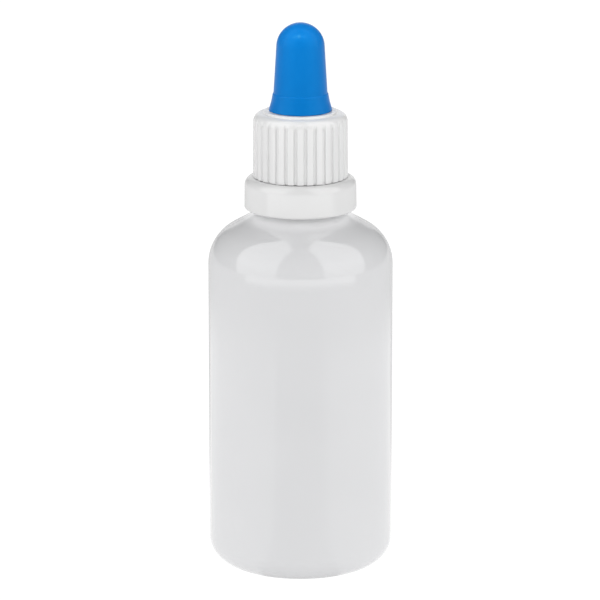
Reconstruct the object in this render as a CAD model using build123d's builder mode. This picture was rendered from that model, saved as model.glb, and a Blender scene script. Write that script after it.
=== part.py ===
# Dropper bottle: white glass bottle, ribbed screw cap with a breakable band, rubber teat and glass pipette.
# Frame: +Z up along the axis of the bottle, origin at the centre of the base. Lengths in millimetres.

import os
from math import cos, radians, sin, tan

from build123d import *

# Driving dimensions of the glass bottle
bottle_diameter = 38.0
bottle_height = 92.4
glass_wall = 2.2
base_thickness = 4.0
heel_radius = 5.2
inner_heel_radius = 3.5
rest_ring_width = 3.4
push_up_depth = 1.3
shoulder_radius = 9.0
shoulder_slope = 29.4

# Driving dimensions of the glass neck
neck_diameter = 15.9
neck_wall = 2.45
neck_fillet = 0.8
mouth_rounding = 0.5
bead_projection = 0.95
bead_height = 1.7
bead_rounding = 0.4

# Driving dimensions of the screw cap
cap_height = 13.2
cap_wall = 0.95
cap_taper = 0.12
cap_roof = 1.3
cap_edge_rounding = 1.8
lip_width = 1.3
lip_height = 0.46
lip_rounding = 0.2
rib_count = 30
groove_depth = 0.34
groove_floor_width = 0.62
groove_mouth_width = 0.86
groove_top_drop = 1.9
groove_run_out = 0.5

# Driving dimensions of the tamper band and its webs
band_height = 6.5
band_step = 1.78
band_taper = 0.1
band_wall = 1.25
band_edge_rounding = 1.7
band_foot_rounding = 0.8
catch_count = 8
catch_width = 4.2
catch_height = 2.2
catch_lip = 0.5
catch_inset = 1.15
bridge_count = 12
bridge_height = 0.2
bridge_width = 0.6

# Driving dimensions of the rubber teat
flange_thickness = 1.5
flange_cover = 0.5
skirt_overhang = 0.5
skirt_height = 3.6
skirt_taper = 0.99
bulb_length = 9.5
bulb_taper = 0.58
bulb_wall = 1.15
grip_depth = 7.6
kink_rounding = 0.2

# Driving dimensions of the glass pipette
pipette_wall = 0.95
taper_length = 18.0
tip_length = 5.0
tip_diameter = 2.8
tip_bore = 1.1
taper_blend = 12.0
pipette_end_rounding = 0.3

# Clearances between the pieces
thread_room = 0.85
bead_clearance = 0.25
catch_clearance = 0.35
catch_play = 0.3
shoulder_gap = 0.2
bridge_inset = 0.01
flange_clearance = 0.2
roof_clearance = 0.05
skirt_clearance = 0.05
teat_hole_clearance = 0.1
pipette_clearance = 0.02
pipette_room = 2.0
tip_room = 6.0

# Radii, from the neck outwards and inwards
body_radius = bottle_diameter / 2
neck_radius = neck_diameter / 2
bore_radius = neck_radius - neck_wall
bead_radius = neck_radius + bead_projection
cap_bore_radius = neck_radius + thread_room
cap_foot_radius = cap_bore_radius + cap_wall
cap_top_radius = cap_foot_radius - cap_taper
band_foot_radius = cap_foot_radius + band_step
band_top_radius = band_foot_radius - band_taper
band_inner_radius = band_top_radius - band_wall
band_roof_radius = bead_radius + bead_clearance
catch_inner_radius = neck_radius + catch_clearance
flange_radius = cap_bore_radius - flange_clearance
teat_neck_radius = bore_radius + flange_cover
cap_hole_radius = teat_neck_radius + teat_hole_clearance
lip_radius = cap_hole_radius + lip_width
skirt_radius = teat_neck_radius + skirt_overhang
bulb_base_radius = skirt_radius - skirt_taper
dome_radius = bulb_base_radius - bulb_taper
pipette_radius = bore_radius - pipette_room

# Heights above the base, from the mouth of the glass upwards and downwards
mouth_z = bottle_height
flange_top_z = mouth_z + flange_thickness
roof_underside_z = flange_top_z + roof_clearance
cap_top_z = roof_underside_z + cap_roof
lip_top_z = cap_top_z + lip_height
cap_foot_z = cap_top_z - cap_height
band_top_z = cap_foot_z - bridge_height
band_foot_z = band_top_z - band_height
catch_foot_z = band_foot_z + catch_inset
catch_top_z = catch_foot_z + catch_height
bead_foot_z = catch_top_z + catch_play
bead_top_z = bead_foot_z + bead_height
neck_foot_z = band_foot_z - shoulder_gap
skirt_foot_z = lip_top_z + skirt_clearance
skirt_top_z = skirt_foot_z + skirt_height
dome_z = skirt_top_z + bulb_length
pipette_top_z = mouth_z + grip_depth
pipette_tip_z = base_thickness + tip_room

quarter_circle = 90
margin = 1.0


def corner(sketch, point):
    """The corner of a sketch that lies nearest to a point (radius, height)."""
    return sketch.vertices().sort_by_distance(Vector(*point))[0]


# Glass bottle
# The shoulder is a cone. Its outer and inner lines run parallel, one wall apart, and their corners
# with the side wall are rounded about one centre.
slope = radians(shoulder_slope)
shoulder_corner_z = neck_foot_z - (body_radius - neck_radius) * tan(slope)
inner_radius = body_radius - glass_wall
rest_ring_inner_radius = body_radius - heel_radius - rest_ring_width
inner_line_drop = glass_wall / cos(slope)
inner_corner_z = shoulder_corner_z + glass_wall * tan(slope) - inner_line_drop
inner_neck_foot_z = neck_foot_z + neck_wall * tan(slope) - inner_line_drop

with BuildPart() as glass_bottle:
    with BuildSketch(Plane.XZ) as bottle_section:
        with BuildLine():
            Polyline(
                (rest_ring_inner_radius, 0),
                (body_radius, 0),
                (body_radius, shoulder_corner_z),
                (neck_radius, neck_foot_z),
                (neck_radius, bead_foot_z),
                (bead_radius, bead_foot_z),
                (bead_radius, bead_top_z),
                (neck_radius, bead_top_z + bead_projection),
                (neck_radius, mouth_z),
                (bore_radius, mouth_z),
                (bore_radius, inner_neck_foot_z),
                (inner_radius, inner_corner_z),
                (inner_radius, base_thickness),
                (0, base_thickness),
                (0, push_up_depth),
            )
            TangentArc((0, push_up_depth), (rest_ring_inner_radius, 0), tangent=(1, 0))
        make_face()
        fillet(corner(bottle_section, (body_radius, 0)), heel_radius)
        fillet(corner(bottle_section, (body_radius, shoulder_corner_z)), shoulder_radius)
        fillet(corner(bottle_section, (inner_radius, inner_corner_z)), shoulder_radius - glass_wall)
        fillet(corner(bottle_section, (inner_radius, base_thickness)), inner_heel_radius)
        fillet(corner(bottle_section, (neck_radius, neck_foot_z)), neck_fillet)
        fillet(corner(bottle_section, (bore_radius, inner_neck_foot_z)), neck_fillet)
        fillet(corner(bottle_section, (bead_radius, bead_top_z)), bead_rounding)
        fillet(corner(bottle_section, (neck_radius, mouth_z)), mouth_rounding)
        fillet(corner(bottle_section, (bore_radius, mouth_z)), mouth_rounding)
    revolve(axis=Axis.Z)


# Screw cap
# The grooves between the ribs are straight bars, trimmed to a zone that follows the taper of the cap
# and slopes out to its surface below the rounded edge.
groove_top_z = cap_top_z - groove_top_drop
groove_length = groove_top_z - cap_foot_z + margin
groove_outer_radius = cap_foot_radius + margin
groove_floor_radius = cap_top_radius - groove_depth
side_slope = (groove_mouth_width - groove_floor_width) / 2 / groove_depth
bar_inner_radius = groove_floor_radius - margin
bar_inner_half_width = groove_floor_width / 2 - margin * side_slope
bar_outer_half_width = groove_floor_width / 2 + (groove_outer_radius - groove_floor_radius) * side_slope

with BuildPart() as grooves:
    with BuildSketch(Plane.XY.offset(cap_foot_z - margin)):
        with PolarLocations(0, rib_count):
            Polygon(
                (bar_inner_radius, -bar_inner_half_width),
                (groove_outer_radius, -bar_outer_half_width),
                (groove_outer_radius, bar_outer_half_width),
                (bar_inner_radius, bar_inner_half_width),
                align=None,
            )
    extrude(amount=groove_length)
    with BuildSketch(Plane.XZ):
        with BuildLine():
            Polyline(
                (cap_foot_radius - groove_depth, cap_foot_z),
                (cap_foot_radius - groove_depth, cap_foot_z - 2 * margin),
                (groove_outer_radius + margin, cap_foot_z - 2 * margin),
                (groove_outer_radius + margin, groove_top_z),
                (cap_top_radius, groove_top_z),
                (groove_floor_radius, groove_top_z - groove_run_out),
                close=True,
            )
        make_face()
    revolve(axis=Axis.Z, mode=Mode.INTERSECT)

with BuildPart() as screw_cap:
    with BuildSketch(Plane.XZ) as cap_section:
        with BuildLine():
            Polyline(
                (cap_bore_radius, cap_foot_z),
                (cap_foot_radius, cap_foot_z),
                (cap_top_radius, cap_top_z),
                (lip_radius, cap_top_z),
                (lip_radius, lip_top_z),
                (cap_hole_radius, lip_top_z),
                (cap_hole_radius, roof_underside_z),
                (cap_bore_radius, roof_underside_z),
                close=True,
            )
        make_face()
        fillet(corner(cap_section, (cap_top_radius, cap_top_z)), cap_edge_rounding)
        fillet(corner(cap_section, (lip_radius, lip_top_z)), lip_rounding)
        fillet(corner(cap_section, (cap_hole_radius, lip_top_z)), lip_rounding)
    revolve(axis=Axis.Z)
    add(grooves.part, mode=Mode.SUBTRACT)


# Tamper band
# Its roof reaches in under the skirt of the cap. The catches stand inside it, below the glass bead.
with BuildPart() as catches:
    with BuildSketch(Plane.XZ):
        with BuildLine():
            Polyline(
                (catch_inner_radius, catch_top_z),
                (band_inner_radius + band_wall / 2, catch_top_z),
                (band_inner_radius + band_wall / 2, catch_foot_z),
                (band_inner_radius, catch_foot_z),
                (catch_inner_radius, catch_top_z - catch_lip),
                close=True,
            )
        make_face()
    revolve(axis=Axis.Z)
    with BuildSketch(Plane.XY.offset(catch_foot_z)):
        with PolarLocations(0, catch_count):
            Rectangle(band_foot_radius, catch_width, align=(Align.MIN, Align.CENTER))
    extrude(amount=catch_height, mode=Mode.INTERSECT)

with BuildPart() as tamper_band:
    with BuildSketch(Plane.XZ) as band_section:
        with BuildLine():
            Polyline(
                (band_foot_radius - band_wall, band_foot_z),
                (band_foot_radius, band_foot_z),
                (band_top_radius, band_top_z),
                (band_roof_radius, band_top_z),
                (band_roof_radius, band_top_z - band_wall),
                (band_inner_radius, band_top_z - band_wall),
                close=True,
            )
        make_face()
        fillet(corner(band_section, (band_top_radius, band_top_z)), band_edge_rounding)
        fillet(corner(band_section, (band_foot_radius, band_foot_z)), band_foot_rounding)
    revolve(axis=Axis.Z)
    add(catches.part)


# Break bridges: thin webs in the slit between band and cap
bridge_reach = cap_foot_radius - groove_depth
bridge_circle_radius = (band_roof_radius + bridge_reach) / 2
bridge_depth = bridge_reach - band_roof_radius - 2 * bridge_inset

with BuildPart() as break_bridges:
    with BuildSketch(Plane.XY.offset(band_top_z)):
        with PolarLocations(bridge_circle_radius, bridge_count):
            Rectangle(bridge_depth, bridge_width)
    extrude(amount=bridge_height)


# Rubber teat
# One moulding: flange on the glass mouth, neck through the cap, flared skirt, long bulb and dome.
# The bore grips the pipette up to the grip depth and opens into the air space of the bulb above it.
grip_radius = pipette_radius + pipette_clearance
bulb_inner_radius = dome_radius - bulb_wall
air_foot_z = pipette_top_z + bulb_inner_radius - grip_radius

with BuildPart() as rubber_teat:
    with BuildSketch(Plane.XZ) as teat_section:
        with BuildLine():
            CenterArc((0, dome_z), dome_radius, 0, quarter_circle)
            Polyline(
                (dome_radius, dome_z),
                (bulb_base_radius, skirt_top_z),
                (skirt_radius, skirt_foot_z),
                (teat_neck_radius, skirt_foot_z),
                (teat_neck_radius, flange_top_z),
                (flange_radius, flange_top_z),
                (flange_radius, mouth_z),
                (grip_radius, mouth_z),
                (grip_radius, pipette_top_z),
                (bulb_inner_radius, air_foot_z),
                (bulb_inner_radius, dome_z),
            )
            CenterArc((0, dome_z), bulb_inner_radius, 0, quarter_circle)
            Line((0, dome_z + bulb_inner_radius), (0, dome_z + dome_radius))
        make_face()
        fillet(corner(teat_section, (bulb_base_radius, skirt_top_z)), kink_rounding)
    revolve(axis=Axis.Z)


# Glass pipette
# A straight tube, drawn down at its lower end to a fine tip. Both ends are melted round.
tube_bore_radius = pipette_radius - pipette_wall
tip_radius = tip_diameter / 2
tip_top_z = pipette_tip_z + tip_length
taper_top_z = tip_top_z + taper_length

with BuildPart() as glass_pipette:
    with BuildSketch(Plane.XZ) as pipette_section:
        with BuildLine():
            Polyline(
                (pipette_radius, pipette_top_z),
                (pipette_radius, taper_top_z),
                (tip_radius, tip_top_z),
                (tip_radius, pipette_tip_z),
                (tip_bore / 2, pipette_tip_z),
                (tip_bore / 2, tip_top_z),
                (tube_bore_radius, taper_top_z),
                (tube_bore_radius, pipette_top_z),
                close=True,
            )
        make_face()
        for point in (
            (pipette_radius, taper_top_z),
            (tip_radius, tip_top_z),
            (tip_bore / 2, tip_top_z),
            (tube_bore_radius, taper_top_z),
        ):
            fillet(corner(pipette_section, point), taper_blend)
        fillet(corner(pipette_section, (pipette_radius, pipette_top_z)), pipette_end_rounding)
        fillet(corner(pipette_section, (tube_bore_radius, pipette_top_z)), pipette_end_rounding)
        fillet(corner(pipette_section, (tip_radius, pipette_tip_z)), pipette_end_rounding)
    revolve(axis=Axis.Z)


glass_bottle.part.label = "glass_bottle"
screw_cap.part.label = "screw_cap"
tamper_band.part.label = "tamper_band"
break_bridges.part.label = "break_bridges"
rubber_teat.part.label = "rubber_teat"
glass_pipette.part.label = "glass_pipette"

os.makedirs("parts", exist_ok=True)
export_step(glass_bottle.part, "parts/glass_bottle.step")
export_step(screw_cap.part, "parts/screw_cap.step")
export_step(tamper_band.part, "parts/tamper_band.step")
export_step(break_bridges.part, "parts/break_bridges.step")
export_step(rubber_teat.part, "parts/rubber_teat.step")
export_step(glass_pipette.part, "parts/glass_pipette.step")
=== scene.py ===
"""Dropper bottle of white glass: ribbed screw cap, breakable band, blue rubber teat and glass pipette.

Lengths are written in millimetres and become metres through MM. Heights count from the plane that the
bottle stands on. The main sizes are read from the frame, and the details are placed from those.
"""

from math import acos, atan2, ceil, cos, pi, radians, sin, tan

import bmesh
import bpy
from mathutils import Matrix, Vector


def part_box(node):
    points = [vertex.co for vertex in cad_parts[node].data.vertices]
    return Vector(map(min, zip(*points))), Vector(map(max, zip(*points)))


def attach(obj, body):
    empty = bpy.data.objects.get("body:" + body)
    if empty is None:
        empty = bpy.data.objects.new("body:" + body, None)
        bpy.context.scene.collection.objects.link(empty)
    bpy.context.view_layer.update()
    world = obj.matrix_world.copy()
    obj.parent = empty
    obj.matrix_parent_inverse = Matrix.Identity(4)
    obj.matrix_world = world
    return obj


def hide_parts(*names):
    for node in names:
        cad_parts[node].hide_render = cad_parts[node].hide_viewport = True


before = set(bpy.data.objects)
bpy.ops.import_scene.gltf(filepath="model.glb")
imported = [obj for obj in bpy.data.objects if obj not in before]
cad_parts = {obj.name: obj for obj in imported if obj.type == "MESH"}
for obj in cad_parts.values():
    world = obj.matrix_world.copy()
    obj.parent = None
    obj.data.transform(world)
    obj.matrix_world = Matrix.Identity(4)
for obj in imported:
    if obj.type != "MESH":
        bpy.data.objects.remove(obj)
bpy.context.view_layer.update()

MM = 0.001


# Sizes

def reach(node):
    """Radius, lowest and highest height of a turned piece, in millimetres."""
    low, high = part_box(node)
    return high.y / MM, low.z / MM, high.z / MM


BODY_RADIUS, STAND_HEIGHT, MOUTH_HEIGHT = reach("glass_bottle")
CAP_RADIUS, CAP_FOOT, LIP_TOP = reach("screw_cap")
BAND_RADIUS, BAND_FOOT, _ = reach("tamper_band")
FLANGE_RADIUS, FLANGE_FOOT, TEAT_TOP = reach("rubber_teat")
PIPETTE_RADIUS, PIPETTE_TIP, PIPETTE_TOP = reach("glass_pipette")

# Glass bottle
GLASS_WALL = 2.2
BASE_THICKNESS = 4.0
HEEL_ROUNDING = 5.2
INNER_HEEL_ROUNDING = 3.5
REST_RING_RADIUS = 10.4
REST_RING_ROUNDING = 0.6
PUSH_UP = 1.3
PUSH_UP_SHARES = (0, 0.12, 0.25, 0.38, 0.5, 0.62, 0.75, 0.88)
SHOULDER_ROUNDING = 9.0
SHOULDER_SLOPE = radians(29.4)
NECK_RADIUS = 7.95
NECK_LENGTH = 17.25
NECK_FOOT = MOUTH_HEIGHT - NECK_LENGTH
NECK_FOOT_ROUNDING = 0.8
BAND_OVER_SHOULDER = 0.2
MOUTH_BORE_RADIUS = 5.5
MOUTH_ROUNDING = 0.5
BEAD_RADIUS = 8.9
BEAD_DROP = 13.4
BEAD_HEIGHT = 1.7
BEAD_FOOT_ROUNDING = 0.25
BEAD_ROUNDING = 0.4

# Screw thread of the neck and of the cap
THREAD_LEAD = 3.0
THREAD_TURNS = 1.75
THREAD_RUN_OUT = 0.11
THREAD_ROUNDING = 0.16
THREAD_SUNK = 0.12
THREAD_STEPS = 220
NECK_THREAD_DEPTH = 0.72
NECK_THREAD_CREST = 0.8
NECK_THREAD_ROOT = 1.5
NECK_THREAD_TOP_DROP = 1.6
CAP_THREAD_DEPTH = 0.66
CAP_THREAD_CREST = 0.5
CAP_THREAD_ROOT = 1.2

# Screw cap
CAP_TOP = LIP_TOP - 0.46
CAP_TOP_RADIUS = 9.63
CAP_EDGE_ROUNDING = 1.8
CAP_FOOT_ROUNDING = 0.12
CAP_BORE_FOOT_ROUNDING = 0.15
CAP_ROOF = 1.3
CAP_ROOF_UNDERSIDE = CAP_TOP - CAP_ROOF
CAP_ROOF_ROUNDING = 0.3
CAP_BORE_RADIUS = 8.8
CAP_HOLE_RADIUS = 6.1
CAP_HOLE_ROUNDING = 0.1
LIP_RADIUS = 7.4
LIP_FOOT_ROUNDING = 0.1
LIP_ROUNDING = 0.2
RIBS = 30
GROOVE_DEPTH = 0.38
GROOVE_FLOOR_WIDTH = 0.4
GROOVE_MOUTH_WIDTH = 0.9
GROOVE_TOP_DROP = 0.5
GROOVE_RUN_OUT = 2.0
GROOVE_WALL_STEPS = 4
GROOVE_END_RINGS = 5
GROOVE_INNER_LIMIT = CAP_BORE_RADIUS + 0.3

# Painted light: a glow round the foot of the neck that lifts the shade under the band
PAINTED_GLOW = 0.19
PAINTED_GLOW_FULL_RADIUS = 9.6
PAINTED_GLOW_END_RADIUS = 12.8
PAINTED_GLOW_FOOT = (NECK_FOOT - 4, NECK_FOOT - 3)
PAINTED_GLOW_TOP = (NECK_FOOT + 0.3, NECK_FOOT + 1)

# Tamper band
BAND_SEAM = 0.1
BAND_TOP_RADIUS = 11.43
BAND_WALL = 1.25
BAND_EDGE_ROUNDING = 1.7
BAND_FOOT_ROUNDING = 0.5
BAND_INNER_FOOT_ROUNDING = 0.2
BAND_INNER_TOP_ROUNDING = 0.3
BAND_ROOF_RADIUS = 9.15
BAND_ROOF_ROUNDING = 0.1
CATCHES = 8
CATCH_RADIUS = 8.3
CATCH_ROUNDING = 0.15
CATCH_WIDTH = 4.2
CATCH_HEIGHT = 2.2
CATCH_EDGE = 0.5
CATCH_SUNK = 0.5
CATCH_CLEARANCE = 0.3

# Rubber teat
FLANGE_TOP = MOUTH_HEIGHT + 1.5
TEAT_NECK_RADIUS = 6.0
SKIRT_FOOT = LIP_TOP + 0.05
SKIRT_RADIUS = 6.5
SKIRT_TOP = SKIRT_FOOT + 3.6
BULB_BASE_RADIUS = 5.51
SKIRT_EDGE_ROUNDING = 0.12
SKIRT_BOW = 8
SKIRT_HOLLOW = 0.03
LEDGE = 0.16
LEDGE_TOP_ROUNDING = 0.1
LEDGE_FOOT_ROUNDING = 0.2
DOME_RADIUS = 4.93
DOME_FOOT_ANGLE = 3
BULB_WALL = 1.15
FLANGE_ROUNDING = 0.2
FLANGE_NECK_ROUNDING = 0.15
GRIP_CLEARANCE = 0.02

# Glass pipette
PIPETTE_WALL = 0.95
TIP_LENGTH = 5.0
TAPER_LENGTH = 18.0
TAPER_BLEND = 12
TIP_RADIUS = 1.4
TIP_BORE_RADIUS = 0.55
TIP_ROUNDING = 0.35
PIPETTE_TOP_ROUNDING = 0.4

# Fineness of the turned meshes
AROUND = 192
ARC_STEP = radians(4.5)
LONGEST_RUN = 2.0


# Turned outlines

def rounded_outline(corners, closed=True):
    """Points (radius, height) through corners (radius, height, rounding), in millimetres.

    Each corner with a rounding becomes an arc, and long straights get points between, so that the
    smooth shading of a rounding stays near it.
    """
    count = len(corners)
    bends = []
    for i, (radius, height, rounding) in enumerate(corners):
        here = Vector((radius, height))
        on_end = not closed and i in (0, count - 1)
        if rounding == 0 or on_end:
            bends.append([here])
            continue
        to_last = (Vector(corners[i - 1][:2]) - here).normalized()
        to_next = (Vector(corners[(i + 1) % count][:2]) - here).normalized()
        half = acos(max(-1.0, min(1.0, to_last.dot(to_next)))) / 2
        centre = here + (to_last + to_next).normalized() * rounding / sin(half)
        first = here + to_last * rounding / tan(half)
        last = here + to_next * rounding / tan(half)
        start = atan2(first.y - centre.y, first.x - centre.x)
        sweep = atan2(last.y - centre.y, last.x - centre.x) - start
        sweep = (sweep + pi) % (2 * pi) - pi
        steps = max(3, ceil(abs(sweep) / ARC_STEP))
        turns = [start + sweep * k / steps for k in range(steps + 1)]
        bends.append([centre + rounding * Vector((cos(t), sin(t))) for t in turns])
    points = []
    for i, bend in enumerate(bends):
        points += bend
        if i == count - 1 and not closed:
            break
        begin, end = bend[-1], bends[(i + 1) % count][0]
        runs = ceil((end - begin).length / LONGEST_RUN)
        points += [begin.lerp(end, k / runs) for k in range(1, runs)]
    return points


def arc(centre, radius, start, end):
    """Points of an arc in an outline, from angle start to angle end in degrees."""
    steps = max(3, ceil(abs(radians(end - start)) / ARC_STEP))
    turns = [radians(start + (end - start) * k / steps) for k in range(steps + 1)]
    return [Vector((centre[0] + radius * cos(t), centre[1] + radius * sin(t))) for t in turns]


def turned(name, outline, angles=None):
    """A closed outline turned about the bottle's axis. Points on the axis become one vertex each."""
    if angles is None:
        angles = [2 * pi * k / AROUND for k in range(AROUND)]
    made = bmesh.new()
    rings = []
    for point in outline:
        if point.x < 1e-6:
            rings.append([made.verts.new((0, 0, point.y * MM))] * len(angles))
        else:
            ring = [(point.x * cos(a) * MM, point.x * sin(a) * MM, point.y * MM) for a in angles]
            rings.append([made.verts.new(place) for place in ring])
    for i, ring in enumerate(rings):
        following = rings[(i + 1) % len(rings)]
        for k in range(len(angles)):
            n = (k + 1) % len(angles)
            corners = []
            for vertex in (ring[k], ring[n], following[n], following[k]):
                if vertex not in corners:
                    corners.append(vertex)
            if len(corners) > 2:
                made.faces.new(corners)
    bmesh.ops.recalc_face_normals(made, faces=made.faces)
    return finished_mesh(name, made)


def finished_mesh(name, made, sharp=38):
    """Turns a bmesh into a smooth object, with sharp edges where it turns by more than sharp degrees."""
    if made.calc_volume(signed=True) < 0:
        bmesh.ops.reverse_faces(made, faces=made.faces)
    mesh = bpy.data.meshes.new(name)
    made.to_mesh(mesh)
    made.free()
    mesh.shade_smooth()
    mesh.set_sharp_from_angle(angle=radians(sharp))
    piece = bpy.data.objects.new(name, mesh)
    bpy.context.scene.collection.objects.link(piece)
    return piece


# Node expressions

class Value:
    """An output of a node. Arithmetic on it adds Math nodes to its tree."""

    def __init__(self, tree, socket):
        self.tree = tree
        self.socket = socket

    def math(self, operation, *values):
        """A Math node whose first value is this one."""
        return math_node(self.tree, operation, self, *values)

    def __add__(self, other):
        return self.math("ADD", other)

    def __radd__(self, other):
        return math_node(self.tree, "ADD", other, self)

    def __sub__(self, other):
        return self.math("SUBTRACT", other)

    def __rsub__(self, other):
        return math_node(self.tree, "SUBTRACT", other, self)

    def __mul__(self, other):
        return self.math("MULTIPLY", other)

    def __rmul__(self, other):
        return math_node(self.tree, "MULTIPLY", other, self)

    def __truediv__(self, other):
        return self.math("DIVIDE", other)

    def __rtruediv__(self, other):
        return math_node(self.tree, "DIVIDE", other, self)

    def __gt__(self, other):
        return self.math("GREATER_THAN", other)

    def __lt__(self, other):
        return self.math("LESS_THAN", other)


def math_node(tree, operation, *values):
    return node(tree, "ShaderNodeMath", {"operation": operation}, dict(enumerate(values)))


def node(tree, kind, settings=(), inputs=(), output=0):
    """Adds a node: its settings first, then its inputs by name or number, as numbers, colours or links."""
    made = tree.nodes.new(kind)
    for name, setting in dict(settings).items():
        if name == "stops":
            ramp = made.color_ramp
            while len(ramp.elements) < len(setting):
                ramp.elements.new(1.0)
            for element, (position, colour) in zip(ramp.elements, setting):
                element.position = position
                element.color = colour
        else:
            setattr(made, name, setting)
    for name, value in dict(inputs).items():
        if isinstance(value, Value):
            tree.links.new(value.socket, made.inputs[name])
        else:
            made.inputs[name].default_value = value
    return Value(tree, made.outputs[output]) if made.outputs else None


def smooth_step(value, low, high):
    """0 below low, 1 above high and a smooth ramp between them."""
    inputs = {"Value": value, "From Min": low, "From Max": high}
    return node(value.tree, "ShaderNodeMapRange", {"interpolation_type": "SMOOTHSTEP"}, inputs)


def split(vector):
    """The three coordinates of a vector."""
    made = node(vector.tree, "ShaderNodeSeparateXYZ", inputs={0: vector}).socket.node
    return [Value(vector.tree, output) for output in made.outputs]


def joined(x, y, z):
    """A vector from three coordinates, of which x is a link."""
    return node(x.tree, "ShaderNodeCombineXYZ", inputs={0: x, 1: y, 2: z})


# Materials

def new_material(name):
    """An empty material and the output that its surface goes to."""
    material = bpy.data.materials.new(name)
    material.use_nodes = True
    tree = material.node_tree
    tree.nodes.clear()
    return material, tree


def object_place(tree):
    return node(tree, "ShaderNodeTexCoord", output="Object")


def noise(place, size, detail=2.0, roughness=0.5):
    """Noise between 0 and 1 whose lumps are about size millimetres across."""
    inputs = {"Vector": place, "Scale": 1 / (size * MM), "Detail": detail, "Roughness": roughness}
    return node(place.tree, "ShaderNodeTexNoise", inputs=inputs)


def blend_colours(factor, first, second):
    inputs = {"Factor": factor, 6: first, 7: second}
    return node(factor.tree, "ShaderNodeMix", {"data_type": "RGBA"}, inputs, output=2)


def relief(height, depth, over=None):
    """A bump whose full height is depth millimetres, laid over another bump."""
    inputs = {"Strength": 1.0, "Distance": depth * MM, "Height": height}
    if over is not None:
        inputs["Normal"] = over
    return node(height.tree, "ShaderNodeBump", inputs=inputs)


def surface(tree, **inputs):
    """The shader of a material. An underscore in a name stands for a space."""
    named = {name.replace("_", " "): value for name, value in inputs.items()}
    shader = node(tree, "ShaderNodeBsdfPrincipled", inputs=named)
    node(tree, "ShaderNodeOutputMaterial", inputs={"Surface": shader})


def white_glass():
    """Opaque white glass, blown in a mould: glossy, a little wavy, with a faint seam on each side.

    A weak glow round the neck's foot is painted light: an emission that brightens the shade under the edge
    of the band.
    """
    material, tree = new_material("white_glass")
    place = object_place(tree)
    x, y, z = split(place)
    cloud = noise(place, 14.0, detail=1.0)
    tint = blend_colours(cloud, (0.66, 0.662, 0.672, 1), (0.685, 0.687, 0.697, 1))
    waves = noise(place, 9.0, detail=0.0)
    peel = noise(place, 0.9, detail=1.0)
    seam = 1 - smooth_step(y.math("ABSOLUTE"), 0.0, 0.22 * MM)
    on_rest = 1 - smooth_step(z, 0.1 * MM, 0.5 * MM)
    knurl = node(tree, "ShaderNodeTexVoronoi", inputs={"Vector": place, "Scale": 1 / (0.8 * MM)})
    bumps = relief(waves, 0.010)
    bumps = relief(peel, 0.0012, bumps)
    bumps = relief(seam, 0.03, bumps)
    bumps = relief(knurl * on_rest, 0.08, bumps)
    gloss = 0.06 + 0.05 * noise(place, 5.0) + 0.25 * on_rest
    # Painted light: emission in a ring round the neck's foot, under the band, where shade would fall.
    radius = (x * x + y * y).math("SQRT")
    under_band = 1 - smooth_step(radius, PAINTED_GLOW_FULL_RADIUS * MM, PAINTED_GLOW_END_RADIUS * MM)
    above_foot, above_top = (
        smooth_step(z, low * MM, high * MM) for low, high in (PAINTED_GLOW_FOOT, PAINTED_GLOW_TOP)
    )
    glow = blend_colours(under_band * above_foot * (1 - above_top), (0, 0, 0, 1), (PAINTED_GLOW, PAINTED_GLOW, PAINTED_GLOW, 1))
    surface(
        tree, Base_Color=tint, Roughness=gloss, Normal=bumps, IOR=1.52,
        Emission_Color=glow, Emission_Strength=1.0,
    )
    return material


def white_plastic():
    """White moulded plastic: satin, with the fine grain of the mould."""
    material, tree = new_material("white_plastic")
    place = object_place(tree)
    tint = blend_colours(noise(place, 6.0), (0.70, 0.70, 0.70, 1), (0.73, 0.73, 0.73, 1))
    grain = noise(place, 0.12, detail=2.0)
    flow = noise(place, 3.0, detail=1.0)
    bumps = relief(grain, 0.0022, relief(flow, 0.006))
    satin = 0.13 + 0.06 * noise(place, 1.6)
    surface(tree, Base_Color=tint, Roughness=satin, Normal=bumps, IOR=1.5)
    return material


def blue_rubber():
    """Blue rubber: smooth satin skin, with a faint powdery bloom."""
    material, tree = new_material("blue_rubber")
    place = object_place(tree)
    bloom = noise(place, 2.5, detail=4.0, roughness=0.6)
    tint = blend_colours(bloom, (0.001, 0.143, 0.46, 1), (0.002, 0.160, 0.495, 1))
    skin = noise(place, 0.18, detail=2.0)
    bumps = relief(skin, 0.004, relief(noise(place, 4.0), 0.02))
    satin = 0.27 + 0.05 * bloom
    surface(
        tree, Base_Color=tint, Roughness=satin, Normal=bumps, IOR=1.45, Specular_IOR_Level=0.2,
        Specular_Tint=(0.2, 0.85, 1.0, 1),
    )
    return material


def clear_glass():
    """Clear drawn glass, with long faint draw lines."""
    material, tree = new_material("clear_glass")
    place = object_place(tree)
    x, y, z = split(place)
    lines = noise(joined(x, y, z * 0.05), 0.8, detail=1.0)
    tint = blend_colours(noise(place, 8.0), (0.93, 0.965, 0.955, 1), (0.96, 0.985, 0.975, 1))
    surface(
        tree, Base_Color=tint, Roughness=0.01 + 0.02 * lines, Normal=relief(lines, 0.003),
        IOR=1.5, Transmission_Weight=1.0,
    )
    return material


# Geometry trees

def geometry_tree(name, sizes):
    """A geometry tree with a geometry input and output, and its named sizes as inputs."""
    tree = bpy.data.node_groups.new(name, "GeometryNodeTree")
    tree.interface.new_socket("Geometry", in_out="INPUT", socket_type="NodeSocketGeometry")
    tree.interface.new_socket("Geometry", in_out="OUTPUT", socket_type="NodeSocketGeometry")
    for size, value in sizes.items():
        kind = "NodeSocketInt" if isinstance(value, int) else "NodeSocketFloat"
        tree.interface.new_socket(size, in_out="INPUT", socket_type=kind).default_value = value
    source = tree.nodes.new("NodeGroupInput")
    values = {socket.name: Value(tree, socket) for socket in source.outputs if socket.name}
    return tree, values


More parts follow.
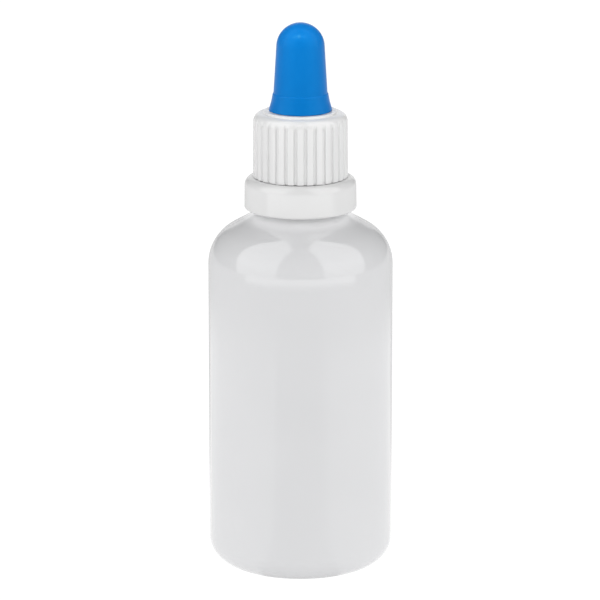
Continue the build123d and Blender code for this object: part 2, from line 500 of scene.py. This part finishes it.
def grown(name, piece, tree, sizes, shape, material, sharp=38):
    """Runs a geometry tree over a piece with the given sizes and keeps the result as a plain mesh."""
    made = node(tree, "GeometryNodeRealizeInstances", inputs={"Geometry": shape})
    made = node(tree, "GeometryNodeSetMaterial", inputs={"Geometry": made, "Material": material})
    node(tree, "NodeGroupOutput", inputs={"Geometry": made})
    modifier = piece.modifiers.new(name, "NODES")
    modifier.node_group = tree
    for item in tree.interface.items_tree:
        if item.in_out == "INPUT" and item.name in sizes:
            modifier[item.identifier] = sizes[item.name]
    evaluated = piece.evaluated_get(bpy.context.evaluated_depsgraph_get())
    mesh = bpy.data.meshes.new_from_object(evaluated)
    piece.modifiers.clear()
    bpy.data.objects.remove(piece)
    mesh.name = name
    mesh.shade_smooth()
    mesh.set_sharp_from_angle(angle=radians(sharp))
    result = bpy.data.objects.new(name, mesh)
    bpy.context.scene.collection.objects.link(result)
    return result


def thread(name, wall_radius, start_height, depth, crest, root, material, facing=1):
    """A right-hand screw thread on a round wall, dying away at both ends.

    crest and root are the widths of its section at its top and where it meets the wall. It stands
    outwards from the wall with facing 1, and inwards with facing -1.
    """
    sizes = {
        "Wall Radius": wall_radius * MM, "Start Height": start_height * MM, "Lead": THREAD_LEAD * MM,
        "Turns": THREAD_TURNS, "Depth": depth * MM, "Crest Width": crest * MM, "Root Width": root * MM,
        "Sunk": THREAD_SUNK * MM, "Rounding": THREAD_ROUNDING * MM, "Facing": float(facing),
        "Run Out": THREAD_RUN_OUT, "Steps": THREAD_STEPS,
    }
    tree, value = geometry_tree(name, sizes)
    line = node(tree, "GeometryNodeMeshLine", inputs={"Count": value["Steps"], "Offset": (0, 0, MM)})
    share = node(tree, "GeometryNodeInputIndex") / (value["Steps"] - 1)
    turn = share * value["Turns"]
    angle = turn * 2 * pi
    x = value["Wall Radius"] * angle.math("COSINE")
    y = value["Wall Radius"] * angle.math("SINE")
    place = joined(x, y, value["Start Height"] + turn * value["Lead"])
    helix = node(tree, "GeometryNodeSetPosition", inputs={"Geometry": line, "Position": place})
    helix = node(tree, "GeometryNodeMeshToCurve", inputs={0: helix})
    helix = node(tree, "GeometryNodeSetCurveNormal", {"mode": "Z_UP"}, {"Curve": helix})
    along = node(tree, "GeometryNodeSplineParameter")
    fade = smooth_step(along, 0.0, value["Run Out"]) * smooth_step(1 - along, 0.0, value["Run Out"])
    inputs = {
        "Height": value["Depth"] + value["Sunk"], "Bottom Width": value["Root Width"],
        "Top Width": value["Crest Width"], "Offset": 0.0,
    }
    section = node(tree, "GeometryNodeCurvePrimitiveQuadrilateral", {"mode": "TRAPEZOID"}, inputs)
    inputs = {"Curve": section, "Radius": value["Rounding"], "Limit Radius": True, "Count": 3}
    section = node(tree, "GeometryNodeFilletCurve", {"mode": "POLY"}, inputs)
    raised = joined(0 * value["Depth"], (value["Depth"] - value["Sunk"]) / 2, 0)
    section = node(tree, "GeometryNodeTransform", inputs={"Geometry": section, "Translation": raised})
    turned_over = joined(0 * value["Depth"], 0, (1 - value["Facing"]) * pi / 2)
    section = node(tree, "GeometryNodeTransform", inputs={"Geometry": section, "Rotation": turned_over})
    inputs = {"Curve": helix, "Profile Curve": section, "Scale": 0.02 + 0.98 * fade, "Fill Caps": True}
    shape = node(tree, "GeometryNodeCurveToMesh", inputs=inputs)
    stub = bpy.data.objects.new(name, bpy.data.meshes.new(name))
    bpy.context.scene.collection.objects.link(stub)
    return grown(name, stub, tree, sizes, shape, material)


# Bottle

def glass_bottle(material):
    """Body, heel with push-up base, sloping shoulder, neck with its bead and thread, and the inside."""
    neck_foot = BAND_FOOT - BAND_OVER_SHOULDER
    bead_foot = MOUTH_HEIGHT - BEAD_DROP
    rise = tan(SHOULDER_SLOPE)
    wall_drop = GLASS_WALL / cos(SHOULDER_SLOPE)
    shoulder = neck_foot - (BODY_RADIUS - NECK_RADIUS) * rise
    inner_radius = BODY_RADIUS - GLASS_WALL
    inner_shoulder = shoulder + GLASS_WALL * rise - wall_drop
    inner_neck_foot = neck_foot + (NECK_RADIUS - MOUTH_BORE_RADIUS) * rise - wall_drop
    push_up = [
        (REST_RING_RADIUS * share, PUSH_UP * (1 - share ** 2), 0)
        for share in PUSH_UP_SHARES
    ]
    outline = rounded_outline(push_up + [
        (REST_RING_RADIUS, STAND_HEIGHT, REST_RING_ROUNDING),
        (BODY_RADIUS, STAND_HEIGHT, HEEL_ROUNDING),
        (BODY_RADIUS, shoulder, SHOULDER_ROUNDING),
        (NECK_RADIUS, neck_foot, NECK_FOOT_ROUNDING),
        (NECK_RADIUS, bead_foot, BEAD_FOOT_ROUNDING),
        (BEAD_RADIUS, bead_foot, BEAD_ROUNDING),
        (BEAD_RADIUS, bead_foot + BEAD_HEIGHT, BEAD_ROUNDING),
        (NECK_RADIUS, bead_foot + BEAD_HEIGHT + BEAD_RADIUS - NECK_RADIUS, BEAD_ROUNDING),
        (NECK_RADIUS, MOUTH_HEIGHT, MOUTH_ROUNDING),
        (MOUTH_BORE_RADIUS, MOUTH_HEIGHT, MOUTH_ROUNDING),
        (MOUTH_BORE_RADIUS, inner_neck_foot, NECK_FOOT_ROUNDING),
        (inner_radius, inner_shoulder, SHOULDER_ROUNDING - GLASS_WALL),
        (inner_radius, BASE_THICKNESS, INNER_HEEL_ROUNDING),
        (0, BASE_THICKNESS, 0),
    ], closed=False)
    bottle = turned("bottle_glass", outline)
    bottle.data.materials.append(material)
    start = MOUTH_HEIGHT - NECK_THREAD_TOP_DROP - THREAD_LEAD * THREAD_TURNS
    neck_thread = thread(
        "neck_thread", NECK_RADIUS, start, NECK_THREAD_DEPTH, NECK_THREAD_CREST, NECK_THREAD_ROOT, material,
    )
    return joined_pieces(bottle, neck_thread)


def joined_pieces(main, *others):
    """Puts the meshes of other pieces into the main piece."""
    for other in others:
        with bpy.context.temp_override(
            active_object=main, selected_editable_objects=[main, other], selected_objects=[main, other],
        ):
            bpy.ops.object.join()
    return main


# Screw cap

def cap_angles():
    """Angles of the cap's mesh: close together at the sides of each groove, wide apart on the ribs."""
    pitch = 2 * pi / RIBS
    floor = GROOVE_FLOOR_WIDTH / 2 / CAP_TOP_RADIUS
    mouth = GROOVE_MOUTH_WIDTH / 2 / CAP_TOP_RADIUS
    steps = [-0.5 * floor, 0, 0.5 * floor]
    walls = GROOVE_WALL_STEPS
    steps += [floor + (mouth - floor) * k / walls for k in range(walls + 1)]
    steps += [mouth + (pitch / 2 - mouth) * k / 2 for k in (1, 2)]
    steps += [pitch - mouth - (pitch / 2 - mouth) * k / 2 for k in (1, 0)]
    steps += [pitch - floor - (mouth - floor) * k / walls for k in reversed(range(walls))]
    return [pitch * rib + step for rib in range(RIBS) for step in steps]


def screw_cap(material):
    """Ribbed cap with a raised lip round its hole, and a thread inside."""
    groove_top = CAP_TOP - GROOVE_TOP_DROP
    taper = (CAP_RADIUS - CAP_TOP_RADIUS) / (CAP_TOP - CAP_FOOT)
    run_out_foot = groove_top - 1.2 * GROOVE_RUN_OUT
    rounding_foot = CAP_TOP - 1.1 * CAP_EDGE_ROUNDING
    gap = (rounding_foot - run_out_foot) / GROOVE_END_RINGS
    run_out = [run_out_foot + gap * k for k in range(GROOVE_END_RINGS + 1)]
    outline = rounded_outline([
        (CAP_BORE_RADIUS, CAP_FOOT, CAP_BORE_FOOT_ROUNDING),
        (CAP_RADIUS, CAP_FOOT, CAP_FOOT_ROUNDING),
        *[(CAP_TOP_RADIUS + (CAP_TOP - z) * taper, z, 0) for z in run_out],
        (CAP_TOP_RADIUS, CAP_TOP, CAP_EDGE_ROUNDING),
        (LIP_RADIUS, CAP_TOP, LIP_FOOT_ROUNDING),
        (LIP_RADIUS, LIP_TOP, LIP_ROUNDING),
        (CAP_HOLE_RADIUS, LIP_TOP, LIP_ROUNDING),
        (CAP_HOLE_RADIUS, CAP_ROOF_UNDERSIDE, CAP_HOLE_ROUNDING),
        (CAP_BORE_RADIUS, CAP_ROOF_UNDERSIDE, CAP_ROOF_ROUNDING),
    ])
    plain = turned("cap", outline, cap_angles())
    cap = grooved(plain, material)
    start = MOUTH_HEIGHT - NECK_THREAD_TOP_DROP - THREAD_LEAD * (THREAD_TURNS + 0.5)
    cap_thread = thread(
        "cap_thread", CAP_BORE_RADIUS, start, CAP_THREAD_DEPTH, CAP_THREAD_CREST, CAP_THREAD_ROOT, material,
        facing=-1,
    )
    return joined_pieces(cap, cap_thread)


def grooved(plain, material):
    """Presses the grooves between the ribs into the side of the plain cap."""
    sizes = {
        "Ribs": RIBS, "Groove Depth": GROOVE_DEPTH * MM, "Floor Width": GROOVE_FLOOR_WIDTH * MM,
        "Mouth Width": GROOVE_MOUTH_WIDTH * MM, "Groove Top": (CAP_TOP - GROOVE_TOP_DROP) * MM,
        "Run Out": GROOVE_RUN_OUT * MM, "Inner Limit": GROOVE_INNER_LIMIT * MM,
    }
    tree, value = geometry_tree("cap_ribs", sizes)
    x, y, z = split(node(tree, "GeometryNodeInputPosition"))
    radius = (x * x + y * y).math("SQRT")
    turn = y.math("ARCTAN2", x) * value["Ribs"] / (2 * pi)
    share = turn - turn.math("ROUND")
    across = share.math("ABSOLUTE") * 2 * pi / value["Ribs"] * radius
    wall = 1 - smooth_step(across, value["Floor Width"] / 2, value["Mouth Width"] / 2)
    fade = smooth_step(value["Groove Top"] - z, 0.0, value["Run Out"])
    depth = wall * fade * value["Groove Depth"] * (radius > value["Inner Limit"])
    inwards = 1 - depth / radius
    place = joined(x * inwards, y * inwards, z)
    shape = node(tree, "GeometryNodeSetPosition", inputs={"Geometry": value["Geometry"], "Position": place})
    return grown("cap_plastic", plain, tree, sizes, shape, material)


# Tamper band

def tamper_band(material):
    """Smooth band under the cap, with a ring of catches inside that hold it under the bead of the neck."""
    inner = BAND_TOP_RADIUS - BAND_WALL
    top = CAP_FOOT - BAND_SEAM
    outline = rounded_outline([
        (inner, BAND_FOOT, BAND_INNER_FOOT_ROUNDING),
        (BAND_RADIUS, BAND_FOOT, BAND_FOOT_ROUNDING),
        (BAND_TOP_RADIUS, top, BAND_EDGE_ROUNDING),
        (BAND_ROOF_RADIUS, top, BAND_ROOF_ROUNDING),
        (BAND_ROOF_RADIUS, top - BAND_WALL, BAND_ROOF_ROUNDING),
        (inner, top - BAND_WALL, BAND_INNER_TOP_ROUNDING),
    ])
    band = turned("band_plastic", outline)
    band.data.materials.append(material)
    return joined_pieces(band, catches(inner, material))


def catches(wall_radius, material):
    """The ring of catches: wedges that stand out from the wall of the band towards the neck."""
    top = MOUTH_HEIGHT - BEAD_DROP - CATCH_CLEARANCE
    section = rounded_outline([
        (CATCH_RADIUS, top, CATCH_ROUNDING),
        (wall_radius + CATCH_SUNK, top, 0),
        (wall_radius + CATCH_SUNK, top - CATCH_HEIGHT, 0),
        (wall_radius, top - CATCH_HEIGHT, 0),
        (CATCH_RADIUS, top - CATCH_EDGE, CATCH_ROUNDING),
    ])
    made = bmesh.new()
    half_width = CATCH_WIDTH / 2 / wall_radius
    slices = [half_width * k / 3 for k in range(-3, 4)]
    rings = []
    for angle in slices:
        ring = [(p.x * cos(angle) * MM, p.x * sin(angle) * MM, p.y * MM) for p in section]
        rings.append([made.verts.new(place) for place in ring])
    for ring, following in zip(rings, rings[1:]):
        for k in range(len(ring)):
            n = (k + 1) % len(ring)
            made.faces.new((ring[k], ring[n], following[n], following[k]))
    made.faces.new(rings[0])
    made.faces.new(rings[-1])
    bmesh.ops.recalc_face_normals(made, faces=made.faces)
    one = finished_mesh("catch", made)
    sizes = {"Copies": CATCHES}
    tree, value = geometry_tree("ring_of_copies", sizes)
    spots = node(tree, "GeometryNodeMeshLine", inputs={"Count": value["Copies"], "Offset": (0, 0, 0)})
    turn = node(tree, "GeometryNodeInputIndex") / value["Copies"] * 2 * pi
    rotation = joined(turn * 0, 0, turn)
    inputs = {"Points": spots, "Instance": value["Geometry"], "Rotation": rotation}
    shape = node(tree, "GeometryNodeInstanceOnPoints", inputs=inputs)
    return grown("catches", one, tree, sizes, shape, material, sharp=30)


# Rubber teat

def rubber_teat(material):
    """One moulding: flange on the mouth of the glass, neck through the cap, flared skirt, bulb and dome."""
    dome = TEAT_TOP - DOME_RADIUS
    inside = DOME_RADIUS - BULB_WALL
    grip = PIPETTE_RADIUS + GRIP_CLEARANCE
    skirt_middle = (SKIRT_RADIUS + BULB_BASE_RADIUS) / 2 - SKIRT_HOLLOW
    outline = arc((0, dome), DOME_RADIUS, 90, DOME_FOOT_ANGLE)
    outline += rounded_outline([
        (DOME_RADIUS, dome, 0),
        (BULB_BASE_RADIUS, SKIRT_TOP, LEDGE_TOP_ROUNDING),
        (BULB_BASE_RADIUS + LEDGE, SKIRT_TOP - LEDGE, LEDGE_FOOT_ROUNDING),
        (skirt_middle, (SKIRT_TOP + SKIRT_FOOT) / 2, SKIRT_BOW),
        (SKIRT_RADIUS, SKIRT_FOOT, SKIRT_EDGE_ROUNDING),
        (TEAT_NECK_RADIUS, SKIRT_FOOT, 0),
        (TEAT_NECK_RADIUS, FLANGE_TOP, FLANGE_NECK_ROUNDING),
        (FLANGE_RADIUS, FLANGE_TOP, FLANGE_ROUNDING),
        (FLANGE_RADIUS, FLANGE_FOOT, FLANGE_ROUNDING),
        (grip, FLANGE_FOOT, FLANGE_ROUNDING),
        (grip, PIPETTE_TOP, 0),
        (inside, PIPETTE_TOP + inside - grip, 0),
        (inside, dome, 0),
    ], closed=False)[1:]
    outline += arc((0, dome), inside, 0, 90)[1:]
    outline[0].x = outline[-1].x = 0
    teat = turned("teat_rubber", outline)
    teat.data.materials.append(material)
    return teat


# Glass pipette

def glass_pipette(material):
    """Straight tube drawn down to a fine tip, with both ends melted round."""
    bore = PIPETTE_RADIUS - PIPETTE_WALL
    tip_top = PIPETTE_TIP + TIP_LENGTH
    taper_top = tip_top + TAPER_LENGTH
    outline = rounded_outline([
        (PIPETTE_RADIUS, PIPETTE_TOP, PIPETTE_TOP_ROUNDING),
        (PIPETTE_RADIUS, taper_top, TAPER_BLEND),
        (TIP_RADIUS, tip_top, TAPER_BLEND),
        (TIP_RADIUS, PIPETTE_TIP, TIP_ROUNDING),
        (TIP_BORE_RADIUS, PIPETTE_TIP, TIP_ROUNDING),
        (TIP_BORE_RADIUS, tip_top, TAPER_BLEND),
        (bore, taper_top, TAPER_BLEND),
        (bore, PIPETTE_TOP, PIPETTE_TOP_ROUNDING),
    ])
    pipette = turned("pipette_glass", outline)
    pipette.data.materials.append(material)
    return pipette


# Light levels
FLOOR_WHITE = 0.8
FLOOR_GLOW = 1.2
FLOOR_SHADOW = 0.22
FLOOR_BOUNCE = 1.15
FLOOR_BOUNCE_SHARE = 0.5
# Brightness of the floor in reflections, with painted pools of light far in front and near beside the
# bottle.
FLOOR_GLOSS = 0.7
FLOOR_GLOSS_NEAR = 0.6
FLOOR_GLOSS_FAR = 2.0
HIGH_LIGHT = 0.22
HIGH_FRONT_LIGHT = 0.2
LOW_FRONT_LIGHT = 0.50
LOW_SIDE_LIGHT = 1.25
LOW_BACK_LIGHT = 0.1
GLOSS_BEFORE = 0.6
GLOSS_BEHIND = 0.15
GLOSS_FAR_BEHIND = 0.8
WALL_GLOSS = 1.9
WALL_FOOT_SHARE = 0.6

# Where a light zone begins and is full. Distances on the floor are in metres, the rest are parts of a
# direction of length 1 with y towards the back and z up.
FLOOR_HALF = 4.0
FLOOR_NEAR = (0.17, 0.25)
FLOOR_FAR = (0.285, 0.315)
FLOOR_IN_FRONT = (0.30, 0.38)
FLOOR_BESIDE = (0.44, 0.52)
SIDE_LIGHT_SPAN = (0.3, 0.7)
BACK_SPAN = (0.1, 0.6)
LOW_LIGHT_TOP = (0.4, 0.92)
HIGH_FRONT_WAY = (-0.64, 0.77)
HIGH_FRONT_SPAN = (0.3, 1.0)
BEFORE_LEAN = 0.36
BEFORE_CURVE = 0.08
BEFORE_EDGE = (-0.03, 0.03)
WALL_INNER_SLOPE = 0.58
WALL_TOP_SLOPE = 0.12
WALL_EDGE = (-0.02, 0.03)
WALL_FOOT_SPAN = (0.0, 0.5)
FAR_BEHIND_SPAN = (0.8, 0.95)
FAR_BEHIND_SIDES = (0.25, 0.35)

# Narrow lamps on the teat: how far aside each one stands, and its power in watts
SNOOTS = ((-0.5, 1.8), (-0.1, 5.5), (0.35, 1.8))
SNOOT_WAY = (-0.5, 0.87)
SNOOT_DISTANCE = 0.6
SNOOT_RADIUS = 0.01
SNOOT_CONE = radians(2.4)
SNOOT_BLEND = 0.5

# Camera
LENS = 227.4
SENSOR_WIDTH = 36
CLIP_START = 0.01
CAMERA_PLACE = (-0.0001, -0.758, 0.2516)
CAMERA_AIM = (-0.0001, 0, 0.0557)


# Stage

def ray_kinds(tree, *kinds):
    """For each kind of ray, a value that is 1 for rays of that kind."""
    path = tree.nodes.new("ShaderNodeLightPath")
    return [Value(tree, path.outputs[f"Is {kind} Ray"]) for kind in kinds]


def seen_rays(tree):
    """1 for rays that show the background: from the camera, in a reflection or through glass."""
    camera_ray, glossy, through = ray_kinds(tree, "Camera", "Glossy", "Transmission")
    return (camera_ray + glossy + through) > 0.5


def blend(factor, first, second):
    """Number between two others."""
    return first + factor * (second - first)


def paper_floor():
    """White floor that shows as white paper and keeps the object's shadow. Reflections see it with pools of
    painted light, far in front and near beside the bottle.
    """
    mesh = bpy.data.meshes.new("floor")
    corners = [(x * FLOOR_HALF, y * FLOOR_HALF, 0) for x, y in ((-1, -1), (1, -1), (1, 1), (-1, 1))]
    mesh.from_pydata(corners, [], [(0, 1, 2, 3)])
    floor = bpy.data.objects.new("floor", mesh)
    bpy.context.scene.collection.objects.link(floor)
    material, tree = new_material("floor_paper")
    shade = node(tree, "ShaderNodeBsdfDiffuse", inputs={"Color": (FLOOR_WHITE, FLOOR_WHITE, FLOOR_WHITE, 1)})
    bounce = node(tree, "ShaderNodeEmission", inputs={"Color": (1, 1, 1, 1), "Strength": FLOOR_BOUNCE})
    bounce = node(tree, "ShaderNodeMixShader", inputs={0: FLOOR_BOUNCE_SHARE, 1: shade, 2: bounce})
    # Pools of painted light on the floor, seen only in reflections: brighter far in front and near beside
    # the bottle.
    x, y, z = split(object_place(tree))
    away = (x * x + y * y).math("SQRT") + 0.001
    near = 1.0 - smooth_step(away, *FLOOR_NEAR)
    far = smooth_step(away, *FLOOR_FAR)
    in_front = smooth_step(y / away * -1.0, *FLOOR_IN_FRONT)
    beside = smooth_step(x.math("ABSOLUTE") / away, *FLOOR_BESIDE)
    pool = FLOOR_GLOSS + far * in_front * FLOOR_GLOSS_FAR + near * beside * FLOOR_GLOSS_NEAR
    glossy, = ray_kinds(tree, "Glossy")
    seen = blend(glossy, FLOOR_GLOW, pool)
    glow = node(tree, "ShaderNodeEmission", inputs={"Color": (1, 1, 1, 1), "Strength": seen})
    paper = node(tree, "ShaderNodeMixShader", inputs={0: FLOOR_SHADOW, 1: glow, 2: shade})
    whole = node(tree, "ShaderNodeMixShader", inputs={0: seen_rays(tree), 1: bounce, 2: paper})
    node(tree, "ShaderNodeOutputMaterial", inputs={"Surface": whole})
    mesh.materials.append(material)


def studio_world():
    """White all round to the eye. What it gives matt and glossy surfaces is told apart.

    Matt surfaces get soft light from low in front and from the sides, and a little from above in front.
    The gloss shows two tall bright walls, left and right of the camera, and dark behind and overhead.
    """
    world = bpy.data.worlds.new("studio")
    world.use_nodes = True
    tree = world.node_tree
    tree.nodes.clear()
    x, y, z = split(node(tree, "ShaderNodeTexCoord", output="Generated"))
    aside = x.math("ABSOLUTE")

    sideways = aside / (x * x + y * y).math("SQRT")
    beside = LOW_FRONT_LIGHT + smooth_step(sideways, *SIDE_LIGHT_SPAN) * LOW_SIDE_LIGHT
    low = blend(smooth_step(y, *BACK_SPAN), beside, LOW_BACK_LIGHT)
    above_front = smooth_step(y * HIGH_FRONT_WAY[0] + z * HIGH_FRONT_WAY[1], *HIGH_FRONT_SPAN)
    soft = HIGH_LIGHT + low * (1.0 - smooth_step(z, *LOW_LIGHT_TOP)) + above_front * HIGH_FRONT_LIGHT
    matt = node(tree, "ShaderNodeBackground", inputs={"Color": (1, 1, 1, 1), "Strength": soft})

    before = smooth_step(z * BEFORE_LEAN - aside * BEFORE_CURVE - y, *BEFORE_EDGE)
    strength = WALL_FOOT_SHARE + (1 - WALL_FOOT_SHARE) * smooth_step(z, *WALL_FOOT_SPAN)
    outside = smooth_step(aside + y * WALL_INNER_SLOPE, *WALL_EDGE)
    below_top = smooth_step(aside - z * WALL_TOP_SLOPE, *WALL_EDGE)
    wall = strength * before * outside * below_top
    shine = GLOSS_BEHIND + before * (GLOSS_BEFORE - GLOSS_BEHIND) + wall * WALL_GLOSS
    far_behind = smooth_step(y, *FAR_BEHIND_SPAN) * (1.0 - smooth_step(aside, *FAR_BEHIND_SIDES))
    shine = shine + far_behind * GLOSS_FAR_BEHIND
    gloss = node(tree, "ShaderNodeBackground", inputs={"Color": (1, 1, 1, 1), "Strength": shine})

    glossy, = ray_kinds(tree, "Glossy")
    white = node(tree, "ShaderNodeBackground", inputs={"Color": (1, 1, 1, 1)})
    lit = node(tree, "ShaderNodeMixShader", inputs={0: seen_rays(tree), 1: matt, 2: white})
    whole = node(tree, "ShaderNodeMixShader", inputs={0: glossy, 1: lit, 2: gloss})
    node(tree, "ShaderNodeOutputWorld", inputs={"Surface": whole})
    bpy.context.scene.world = world


def snoots():
    """Three narrow lamps side by side, high in front, that light the rubber teat and little else."""
    aim = Vector((0, 0, (SKIRT_TOP + TEAT_TOP) / 2 * MM))
    for aside, power in SNOOTS:
        data = bpy.data.lights.new("snoot", "SPOT")
        data.energy = power
        data.shadow_soft_size = SNOOT_RADIUS
        data.spot_size = SNOOT_CONE
        data.spot_blend = SNOOT_BLEND
        lamp = bpy.data.objects.new("snoot", data)
        way = Vector((aside, *SNOOT_WAY)).normalized()
        lamp.location = aim + way * SNOOT_DISTANCE
        lamp.rotation_euler = way.to_track_quat("Z", "Y").to_euler()
        bpy.context.scene.collection.objects.link(lamp)


def camera():
    """Long lens from a little above, aimed at the middle of the bottle."""
    data = bpy.data.cameras.new("camera")
    data.lens = LENS
    data.sensor_width = SENSOR_WIDTH
    data.clip_start = CLIP_START
    viewer = bpy.data.objects.new("camera", data)
    viewer.location = CAMERA_PLACE
    viewer.rotation_euler = (viewer.location - Vector(CAMERA_AIM)).to_track_quat("Z", "Y").to_euler()
    bpy.context.scene.collection.objects.link(viewer)
    bpy.context.scene.camera = viewer


# Whole object

def dress(piece, body, slot, *nodes):
    """Lets a piece ride on its body and stand for its CAD nodes, which it hides. The slot is not used."""
    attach(piece, body)
    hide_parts(*nodes)


camera()
studio_world()
paper_floor()
snoots()

glass = white_glass()
plastic = white_plastic()
rubber = blue_rubber()
clear = clear_glass()

dress(glass_bottle(glass), "bottle", "white_glass", "glass_bottle")
dress(screw_cap(plastic), "cap", "white_plastic", "screw_cap")
dress(tamper_band(plastic), "band", "white_plastic", "tamper_band")
dress(rubber_teat(rubber), "dropper", "blue_rubber", "rubber_teat")
dress(glass_pipette(clear), "dropper", "clear_glass", "glass_pipette")

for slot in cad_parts["break_bridges"].material_slots:
    slot.material = plastic

bpy.context.scene.view_settings.view_transform = "Standard"
